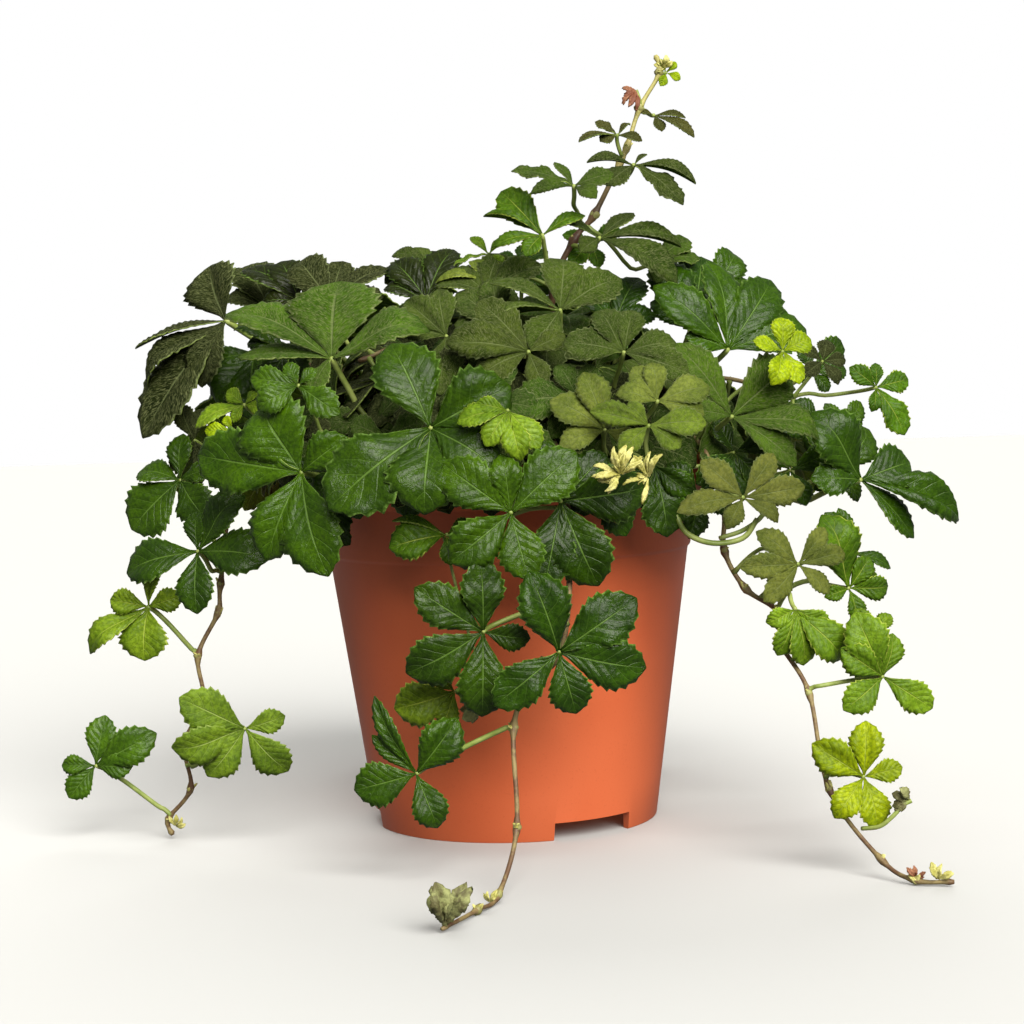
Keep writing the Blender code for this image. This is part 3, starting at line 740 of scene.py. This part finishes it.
# Smaller and hidden leaves between them, written the same way; these have no solid of their own
smallLeaves = [
    ((-72, -30, 123), (-0.3, 0.5), [(-14, -6, 0.4), (4, 3), (-5, 4), (-3, -5), (8, -2)], (8, 8, -8),
     "young light"),
    ((-75, -34, 116), (-0.3, 0.3), [(-8, 0), (4, -2), (-3, -6), (-2, 4)], (8, 8, -8), "young lime"),
    ((-48, -14, 151), (-0.2, 0.8), [(3, 12), (17, 9, 0.5), (-10, 12), (15, 1), (-10, 1)], (4, 4, -12),
     "felted night"),
    ((-58, -4, 152), (-0.2, 0.8), [(-17, 10, 0.3), (-6, 12), (10, 10), (-11, 0), (9, -6)], (6, 4, -14),
     "glossy night"),
    ((-60, -20, 138), (-0.2, 0.4), [(-12, 2, 0.5), (-8, -12), (5, -8), (-16, 6, 0.5), (6, 8)], (8, 6, -12),
     "glossy deep"),
    ((-21, -20, 151), (-0.1, 0.8), [(-9, 11, 0.4), (8, 14), (-12, 3), (-8, -8), (9, -3)], (4, 6, -12),
     "glossy night"),
    ((-20, -6, 162), (-0.1, 0.8), [(-11, 2, 0.6), (7, 3, 0.5), (-13, -6), (5, -7)], (4, 4, -14), "felted dust"),
    ((-15, -44, 140), (-0.1, 0.6), [(-11, 10), (-12, 1), (-2, 13), (8, -11, 0, 1.3), (-2, -16)], (2, 10, -10),
     "felted dust"),
    ((-4, -30, 152), (0.0, 0.9), [(-14, 2, 0.6), (-9, 7), (16, 7), (4, 11), (9, -4)], (0, 6, -12),
     "felted dust"),
    ((6, -8, 160), (0.0, 0.8), [(8, 4, 0.4), (-11, -5), (-7, 3), (6, -6), (1, 6)], (0, 4, -14), "glossy deep"),
    ((-3, -26, 155), (0.0, 0.8), [(-15, 0, 0.5, 0.8), (-5, 6, 0.5), (6, 4)], (0, 8, -12), "young paleDust"),
    ((7, -56, 135), (0.0, 0.5), [(-22, 3), (-14, -7, 0, 1.2), (-13, 14), (4, -10), (10, 4)], (0, 10, -10),
     "felted dust"),
    ((20, -62, 122), (0.0, 0.4), [(-18, -1, 0.2, 1.3), (-8, -10), (4, 9), (8, -6), (-6, 9)], (0, 10, -8),
     "felted green"),
    ((26, -72, 114), (0.1, 0.4), [(-14, 8, 0, 1.1), (-5, 15), (-12, -4), (9, -4)], (0, 10, -8),
     "felted paleDust"),
    ((1, -80, 120), (0.0, 0.2), [(-13, -3, 0.4), (-6, -9), (3, -13), (8, -10), (-8, 2)], (2, 12, -6),
     "young light"),
    ((-16, -70, 88), (0.0, 0.2), [(-15, -3, 0, 1.2), (-14, 4, 0.6, 0.7), (1, -8), (7, 3)], (12, 6, 2),
     "young fresh"),
    ((-15, -72, 47), (0.0, 0.0), [(-16, -4, 0, 1.2), (-4, -9), (-6, 5), (6, -3)], (14, 4, 2), "young light"),
    ((39, -62, 104), (0.1, 0.1), [(-5, -10), (3, -19, 0, 1.1), (10, -8), (-10, -1)], (-6, 8, 4), "glossy deep"),
    ((24, -68, 99), (0.1, 0.1), [(13, -2), (7, -13), (-3, 8), (-10, -5), (12, 7)], (-6, 8, 4), "glossy deep"),
    ((62, -44, 106), (0.3, 0.3), [(-11, -8), (7, -9), (-5, 9), (12, 3), (-1, -13)], (-8, 8, -2), "glossy deep"),
    ((79, -30, 100), (0.4, 0.3), [(-10, 9), (12, 5), (4, -10), (-8, -8)], (-10, 6, -2), "glossy green"),
    ((53, -22, 140), (0.3, 0.7), [(-8, 20), (5, 21), (-11, 8), (13, 11), (2, -8)], (-4, 6, -12), "glossy deep"),
    ((31, -30, 142), (0.1, 0.8), [(-10, 12), (8, 13), (12, 2), (-8, -4), (2, -8)], (-2, 8, -12), "glossy deep"),
    ((51, -56, 96), (0.2, 0.2), [(-9, -5), (-3, -12), (10, 8), (-8, 8), (9, -5)], (-8, 8, 4), "glossy deep"),
    ((75, -52, 133), (0.3, 0.4), [(-8, 3, 0.3, 1.2), (8, 3, 0, 1.2), (-4, -9, 0, 1.2), (4, -9, 0, 1.2),
     (0, 9, 0, 1.2)], (-8, 8, -8), "young lime"),
    ((94, -20, 99), (0.4, 0.3), [(-9, 12), (10, 11, 0, 1.1), (5, -9), (-8, -5)], (-12, 6, -4), "glossy green"),
    ((95, -16, 110), (0.4, 0.3), [(-4, 8), (7, 3), (3, -8), (-7, -2), (7, 8)], (-12, 6, -2), "glossy green"),
    ((90, -10, 113), (0.4, 0.3), [(-7, 6), (8, -7), (-12, -2), (-4, -9)], (-12, 6, -2), "glossy deep"),
    ((92, -6, 130), (0.3, 0.5), [(-6, 4), (2, 6, 0, 1.2), (7, 0), (4, -7), (-6, -4)], (-8, 4, -10),
     "felted night"),
    ((93, -46, 78), (0.3, 0.2), [(-7, 11), (-3, 12, 0, 0.8), (11, -5, 0.5, 0.7), (5, -11)], (-10, 4, -2),
     "glossy green"),
    ((-89, -10, 113), (-0.4, 0.4), [(-4, 10), (3, 9), (-7, -8), (6, -9)], (10, 2, -8), "felted night"),
    ((-48, -50, 100), (-0.2, 0.2), [(4, -13), (-8, 8), (6, 8), (11, 0), (-9, -6)], (8, 8, 4), "glossy deep"),
    ((-52, -40, 93), (-0.2, 0.1), [(-5, 11), (3, -13), (9, 0), (9, -9), (-8, -4)], (8, 6, 6), "glossy deep"),
    ((-72, 0, 138), (-0.3, 0.4), [(-10, -16, 0, 1.2), (0, -20, 0, 1.2), (-12, -4), (11, -13), (8, 6)],
     (12, 4, -8), "glossy deep"),
    ((-58, 0, 130), (-0.2, 0.4), [(-11, -11), (3, -14), (12, -8), (10, 6), (-8, 7)], (10, 4, -8),
     "felted night"),
    ((-42, -56, 106), (-0.2, 0.2), [(-9, -9), (3, -14, 0, 1.2), (12, -8), (-10, 4), (9, 5)], (8, 6, 4),
     "glossy deep"),
    ((-24, -62, 106), (-0.1, 0.2), [(-12, -8), (-2, -14, 0, 1.2), (10, -10), (12, 4), (-10, 6)], (8, 8, 2),
     "glossy deep"),
    ((-4, -64, 104), (0.0, 0.2), [(-12, -8), (0, -12), (10, -8), (10, 6), (-9, 7)], (6, 8, 2), "glossy night"),
    ((45, -12, 201), (0.1, 0.7), [(11, -7, 0.3, 0.7), (9, -1, 0.4, 0.7), (2, -5), (-4, 1)], (-2, 2, 1),
     "felted bronze"),
    ((-3, -20, 163), (-0.1, 0.7), [(-10, -3, 0.5, 0.6), (-5, 5, 0.5, 0.7), (5, 4, 0.5), (4, -5)], (4, 4, -6),
     "young light"),
    ((95, -68, 58), (0.3, 0.1), [(-5, 7), (6, -4), (-4, -8), (5, 5, 0.4), (-7, 0, 0.4)], (-12, 2, -2),
     "young light"),
    ((26, -14, 165), (0.2, 0.7), [(-8, 3, 0.4), (9, 4), (2, -7), (-6, -6)], (-4, 2, -2), "young fresh"),
    ((45, -16, 160), (0.3, 0.7), [(9, 6), (12, 0, 0.3), (-1, -7), (-6, 4)], (-8, 2, -2), "felted green"),
    ((49, -10, 213), (0.3, 0.3), [(-2, 4, 0, 0.8), (3, 3, 0, 0.8), (4, -2), (-2, -4)], (-2, 0, 0),
     "young lime"),
    ((60, -8, 150), (0.3, 0.7), [(-6, 12), (8, 12), (13, 2), (-9, 3), (4, -8)], (-6, 4, -10), "glossy green"),
]
# Leaves of the rear: where the leaflets meet, bearing and tilt of the face, length, spin, stalk's foot
rearLeaves = [
    ((-50, 62, 126), 218, 35, 27, 10, (8, -12, -8), "glossy green"),
    ((-8, 80, 116), 184, 25, 30, -15, (2, -14, -4), "glossy deep"),
    ((38, 68, 124), 150, 35, 27, 12, (-6, -12, -8), "glossy green"),
    ((80, 40, 110), 118, 25, 27, -10, (-12, -8, -6), "glossy fresh"),
    ((-86, 38, 114), 246, 25, 28, 14, (12, -6, -8), "glossy deep"),
    ((-30, 38, 150), 205, 60, 25, -12, (2, -4, -12), "felted dust"),
    ((24, 38, 150), 160, 60, 25, 16, (-4, -6, -12), "felted dust"),
    ((-12, 92, 76), 182, 10, 24, 20, (-8, -6, -8), "glossy green"),
    ((40, 80, 86), 154, 12, 22, -18, (4, -8, -6), "glossy green"),
    ((-34, 104, 34), 190, 12, 22, -25, (8, -6, -4), "young light"),
    ((30, 88, 40), 164, 10, 20, 15, (3, -6, -3), "young fresh"),
]
starLeaflets = ((0, 1.0), (54, 0.93), (-54, 0.93), (112, 0.7), (-112, 0.7))


def nearestStem(place):
    return min((point for line in stemLines for point in line), key=lambda point: (point - place).length)


def makeStalk(middle, normal, foot, size):
    start = middle + normal * 0.1
    bend = middle - normal * foot.length * 0.4
    end = middle + foot
    line = [start]
    for step in range(1, 7):
        t = step / 6
        line.append(middle * (1 - t) ** 2 + bend * (2 * t * (1 - t)) + end * t * t)
    anchor = nearestStem(end)
    if (anchor - end).length < leafForm["stalkReach"]:
        sag = (end + anchor) / 2 + rise(0.08 * (anchor - end).length)
        line = throughPoints([line[0], line[2], line[4], line[6], sag, anchor], 3)
    radius = leafForm["stalkRadius"] * (0.6 + size / 60)
    radii = [radius * 0.75, *[radius] * (len(line) - 2), radius * 1.5]
    stalk = tubeAlong("stalk", line, radii, 8)
    dress(stalk, stalkSkin)
    return stalk


def layLeaflet(pattern, middle, tip, normal, width, skyward):
    along = tip.normalized()
    lean = normal * (1 - skyward) + rise(skyward)
    lean = (lean - along * lean.dot(along)).normalized()
    lean = Matrix.Rotation(dice.uniform(-0.25, 0.25), 3, along) @ lean
    across = along.cross(lean)
    length = tip.length
    start = middle + along * 0.4
    blade = twin(pattern, "blade")
    columns = (across * width * length, along * (length - 0.4), lean * length, start)
    place = Matrix.Identity(4)
    for column, values in enumerate(columns):
        for row in range(3):
            place[row][column] = values[row] * mm
    blade.data.transform(place)
    return blade


def makeLeaf(name, middle, normal, tips, foot, look, shapes=None):
    shapes = shapes or patterns
    finish, tone = look.split()
    longest = max(tip.length for tip, skyward, wide in tips)
    leaflets = []
    for tip, skyward, wide in tips:
        kind = dice.choice(("flat", "arched", "arched", "hooked", "folded", "wavy"))
        width = leafForm["width"] * wide * dice.uniform(0.9, 1.1) * (1 + 0.12 * (1 - tip.length / longest))
        leaflets.append(layLeaflet(shapes[kind], middle, tip, normal, width, skyward))
    leaf = joinAll(leaflets, name)
    dress(leaf, blades[finish], blades["under"])
    thick = leaf.modifiers.new("thickness", "SOLIDIFY")
    thick.thickness = leafForm["thickness"] * mm
    thick.offset = -1
    thick.material_offset = 1
    thick.material_offset_rim = 1
    applyAll(leaf)
    lift = dice.uniform(0.8, 1.2)
    color = [min(1, part * lift * dice.uniform(0.94, 1.06)) for part in tones[tone]]
    pale = [0.55 * part + 0.45 * light for part, light in zip(color, tones["light"])]
    layer = leaf.data.color_attributes.new("bladeTone", "FLOAT_COLOR", "CORNER")
    for face in leaf.data.polygons:
        for corner in face.loop_indices:
            layer.data[corner].color = (*(color if face.material_index == 0 else pale), 1)
    leaf = joinAll([leaf, makeStalk(middle, normal, foot, longest)], name)
    smooth(leaf)
    return leaf


def forwardLeaf(name, middle, lean, tips, foot, look):
    normal = Vector((lean[0], -1, lean[1])).normalized()
    spread = []
    for tip in tips:
        right, up, skyward, wide = (*tip, 0, 1)[:4] if len(tip) != 3 else (*tip, 1)
        spread.append((Vector((right, lean[0] * right + lean[1] * up, up)), skyward, wide))
    return makeLeaf(name, Vector(middle), normal, spread, Vector(foot), look)


def starLeaf(name, middle, facing, tilt, size, spin, foot, look, shapes=None):
    level, steep = math.cos(math.radians(tilt)), math.sin(math.radians(tilt))
    normal = bearing(facing) * level + rise(steep)
    down = bearing(facing) * steep - rise(level)
    across = normal.cross(down)
    spread = []
    for turn, share in starLeaflets:
        angle = math.radians(turn + spin)
        spread.append(((down * math.cos(angle) + across * math.sin(angle)) * size * share, 0, 1))
    return makeLeaf(name, Vector(middle), normal, spread, Vector(foot), look, shapes)


for group, leaves in forwardLeaves.items():
    for number, row in enumerate(leaves, 1):
        settle(forwardLeaf(f"leaf{group.title()}{number}", *row), [f"leaf_{group}_{number}"])
    print(group, "leaves made")
for number, row in enumerate(smallLeaves, 1):
    settle(forwardLeaf(f"leafSmall{number}", *row))
print("small leaves made")
for number, row in enumerate(rearLeaves, 1):
    settle(starLeaf(f"leafRear{number}", *row), [f"leaf_rear_{number}"])
print("rear leaves made")

# Long bent stalks that stand clear of the leaves: corners (mm) and thickness
bentStalks = {
    "stalkRightLoop": ([(44, -62, 92), (47, -64, 86), (54, -63, 83), (62, -62, 84), (66, -62, 89)], 1.5),
    "stalkRightInner": ([(56, -60, 84), (63, -58, 86), (69, -52, 90), (72, -44, 98)], 1.3),
    "stalkFrontTwig": ([(1, -78, 45), (-4, -76, 50), (-9, -74, 57), (-12, -70, 66), (-17, -66, 88)], 0.8),
    "stalkRightShoot": ([(87, -93, 12), (91, -96, 13), (94, -97, 15.5), (97, -97, 18.5), (99, -97, 19.5)], 1.2),
    "stalkTopDried": ([(41.5, -12, 203), (41, -13, 205.5), (40.2, -13, 208)], 0.9),
}
for name, (corners, thickness) in bentStalks.items():
    line = throughPoints([Vector(corner) for corner in corners], 6)
    stalk = tubeAlong(name, line, [thickness / 2] * len(line), 8)
    dress(stalk, stalkSkin)
    smooth(stalk)
    settle(stalk)

# Withered leaves and young bud scales: where, which way they reach, how wide they fan (degrees), how many
# blades, their length and width, how crumpled, and their skin
witheredBits = {
    "driedFrontLeaf": ((-17.5, -138, 1.4), (0.1, 0, 1), 46, 6, (7, 13), 0.42, 1.5, "dried"),
    "driedStemLeaf": ((9, -84, 52), (-0.8, 0, 0.5), 90, 4, (4, 7), 0.6, 1.3, "dried"),
    "driedBandLeaf": ((-8, -70, 42), (-0.8, 0, 0.1), 80, 4, (3, 6), 0.6, 1.2, "dried"),
    "driedTopLeaf": ((40.2, -13, 208), (-0.7, 0, -0.7), 110, 6, (3.5, 7), 0.3, 0.6, "rusty"),
    "driedShootTip": ((98.6, -97, 19.5), (-0.8, 0, 0.1), 120, 5, (2.5, 5), 0.5, 0.8, "dried"),
    "creamBuds": ((29, -88, 103), (-0.5, 0, 0.6), 230, 24, (3, 8), 0.26, 0.6, "cream"),
    "creamTendril": ((36, -87, 102), (-0.8, 0, 0.3), 220, 12, (2, 7), 0.22, 0.5, "cream"),
    "topBuds": ((48, -10, 214), (0, 0, 1), 120, 7, (2, 4), 0.45, 0.2, "cream"),
    "rightTipBuds": ((103, -108, 1.8), (0.3, 0, 0.8), 120, 6, (2, 5), 0.4, 0.4, "cream"),
    "rightTipScales": ((98, -106, 1.8), (0.3, 0, 0.8), 160, 5, (2, 3.5), 0.4, 0.4, "rusty"),
    "frontTipBuds": ((-7, -124, 3.4), (0.2, 0, 1), 90, 4, (2, 4), 0.4, 0.4, "cream"),
    "leftTipBuds": ((-97, -23, 4), (0.3, 0, 0.6), 120, 4, (2, 4), 0.4, 0.4, "cream"),
}
witheredSkins = {"dried": driedSkin, "rusty": rustySkin, "cream": budScale}


def makeWithered(name, middle, reach, fan, count, lengths, width, crumple, skin):
    reach = Vector(reach).normalized()
    blades = []
    for number in range(count):
        turn = math.radians(fan * ((number + 0.5) / count - 0.5) + dice.uniform(-12, 12))
        along = Matrix.Rotation(turn, 3, "Y") @ reach
        along.y = dice.uniform(-0.5, 0.2)
        face = Vector((dice.uniform(-0.7, 0.7), -1, dice.uniform(-0.2, 0.9)))
        kind = dice.choice(("folded", "hooked"))
        share = width * dice.uniform(0.7, 1.2)
        tip = along * dice.uniform(*lengths)
        blades.append(layLeaflet(plainPatterns[kind], Vector(middle), tip, face, share, 0))
    bunch = joinAll(blades, name)
    dress(bunch, witheredSkins[skin])
    startEdit(bunch)
    pickAll()
    bpy.ops.transform.vertex_random(offset=crumple * 0.35 * mm, seed=len(name))
    endEdit()
    thick = bunch.modifiers.new("thickness", "SOLIDIFY")
    thick.thickness = 0.3 * mm
    thick.offset = 0
    applyAll(bunch)
    smooth(bunch)
    return settle(bunch)


for name, row in witheredBits.items():
    makeWithered(name, *row)
print("stalks and withered bits made")


# The inside of the plant is close set with older leaves, joined group by group. Each of these places one
# leaf of a group, and gives its middle, facing, tilt and stalk's foot
def inDome(group, number):
    polar = math.acos(1 - (number + 0.5) / group["leaves"])
    facing = number * group["turn"]
    reach = group["reach"] * math.sin(polar) * dice.uniform(0.9, 1.08)
    height = group["low"] + (group["high"] - group["low"]) * math.cos(polar) + dice.uniform(-4, 3)
    middle, foot = bearing(facing) * reach + rise(height), bearing(facing) * -6 - rise(10)
    tilt = 90 - math.degrees(polar) * 0.9 + dice.uniform(-18, 12)
    facing += dice.uniform(-25, 25)
    return middle, facing, tilt, foot


def overRim(group, number):
    facing = 360 * number / group["leaves"] + dice.uniform(-6, 6)
    middle = bearing(facing) * group["reach"] * dice.uniform(0.97, 1.06)
    middle.z = group["low"] + dice.uniform(-2, 5)
    return middle, facing + dice.uniform(-20, 20), dice.uniform(0, 30), bearing(facing) * -8


def behind(group, number):
    share = number / (group["leaves"] - 1)
    facing = group["from"] + (group["to"] - group["from"]) * share + dice.uniform(-8, 8)
    row = number % group["rows"]
    reach = group["reach"] - group["step"] * row + dice.uniform(-4, 4)
    middle = bearing(facing) * reach + rise(group["low"] + group["step"] * row + dice.uniform(-4, 4))
    tilted = facing + dice.uniform(-15, 15), 20 + 18 * row + dice.uniform(-8, 8)
    return middle, *tilted, bearing(facing) * -7 - rise(7)


# The three felted groups take mostly deep and night tones: painted shade that darkens the gaps between the outer
# leaves.
innerLeaves = {
    "leavesInner": {"place": inDome, "leaves": 54, "reach": 60, "low": 106, "high": 146, "turn": 137.5,
                    "sizes": (17, 24), "spin": 40, "shapes": plainPatterns, "finish": "felted",
                    "tones": ("deep", "deep", "green", "night", "dust")},
    "leavesInnermost": {"place": inDome, "leaves": 30, "reach": 47, "low": 101, "high": 131, "turn": 137.5,
                        "sizes": (17, 22), "spin": 40, "shapes": plainPatterns, "finish": "felted",
                        "tones": ("night", "deep", "night")},
    "leavesOverRim": {"place": overRim, "leaves": 26, "reach": 63, "low": 109, "sizes": (16, 19), "spin": 30,
                      "shapes": plainPatterns, "finish": "felted", "tones": ("deep", "deep", "green", "night")},
    "leavesBehind": {"place": behind, "leaves": 21, "from": 100, "to": 262, "reach": 78, "low": 110, "rows": 3,
                     "step": 15, "sizes": (19, 25), "spin": 30, "shapes": patterns, "finish": "glossy",
                     "tones": ("green", "deep", "green", "fresh", "dust")},
}
for name, group in innerLeaves.items():
    leaves = []
    for number in range(group["leaves"]):
        middle, facing, tilt, foot = group["place"](group, number)
        size, spin = dice.uniform(*group["sizes"]), dice.uniform(-group["spin"], group["spin"])
        look = group["finish"] + " " + dice.choice(group["tones"])
        leaves.append(starLeaf("innerLeaf", middle, facing, tilt, size, spin, foot, look, group["shapes"]))
    settle(joinAll(leaves, name))
print("inner leaves made")

for pattern in [*patterns.values(), *plainPatterns.values(), budScaleShape, knotShape]:
    bpy.data.objects.remove(pattern)


studio = {
    "floorSize": 6.0,
    "floorTone": (0.54, 0.545, 0.55),
    "lights": {        # bearing from the front, height, strength and softness
        "keyLight": (20, 35, 5.8, 45),
        "topLight": (-50, 78, 0.7, 60),
        "backLight": (186, 32, 2.7, 55),
    },
    "skyFill": 0.19,
    "skyGloss": 0.04,
    "warmth": (1.0, 0.975, 0.9),
    "viewFrom": (0.0013, -0.653, 0.130),
    "pitchDown": 3.6,
    "roll": 1.8,
    "lens": 78.9,
}


def makeFloor():
    floor = newPiece(bpy.ops.mesh.primitive_plane_add, size=studio["floorSize"])
    floor.name = "floor"
    material, skin = newMaterial("paleFloor")
    feed(skin["Base Color"], studio["floorTone"])
    feed(skin["Roughness"], 0.9)
    feed(skin["Specular IOR Level"], 0.1)
    dress(floor, material)
    floor.visible_diffuse = False        # a white floor would throw too much light up under the leaves
    floor.visible_glossy = False
    return floor


def softLight(name, facing, height, strength, spread):        # from far off: bearing and height in degrees
    lamp = bpy.data.lights.new(name, "SUN")
    lamp.energy = strength
    lamp.angle = math.radians(spread)
    lamp.color = studio["warmth"]
    holder = bpy.data.objects.new(name, lamp)
    stage.collection.objects.link(holder)
    toLight = bearing(facing) * math.cos(math.radians(height)) + rise(math.sin(math.radians(height)))
    holder.location = toLight
    holder.rotation_euler = (-toLight).to_track_quat("-Z", "Y").to_euler()
    holder.visible_glossy = name == "keyLight"
    return holder


def makeSky():        # white behind the plant, and only a little light from it
    sky = bpy.data.worlds.new("studioSky")
    sky.use_nodes = True
    wiring["tree"] = sky.node_tree
    background = sky.node_tree.nodes["Background"].inputs
    feed(background["Color"], (1, 1, 1))
    ray = addNode("LightPath").outputs
    seen = combine("MULTIPLY_ADD", ray["Is Camera Ray"], 1 - studio["skyFill"], studio["skyFill"])
    feed(background["Strength"], combine("MULTIPLY_ADD", ray["Is Glossy Ray"], studio["skyGloss"], seen))
    stage.world = sky


def makeCamera():
    lens = bpy.data.cameras.new("camera")
    lens.lens = studio["lens"]
    lens.sensor_width = 36
    eye = bpy.data.objects.new("camera", lens)
    stage.collection.objects.link(eye)
    pitch, roll = math.radians(studio["pitchDown"]), math.radians(studio["roll"])
    right = Vector((1, 0, 0))
    up = Vector((0, math.sin(pitch), math.cos(pitch)))
    back = right.cross(up)
    level, upright = right * math.cos(roll) - up * math.sin(roll), right * math.sin(roll) + up * math.cos(roll)
    axes = Matrix((level, upright, back)).transposed()
    eye.matrix_world = Matrix.Translation(studio["viewFrom"]) @ axes.to_4x4()
    stage.camera = eye


makeFloor()
for name, values in studio["lights"].items():
    softLight(name, *values)
makeSky()
stage.view_settings.view_transform = "Standard"
makeCamera()
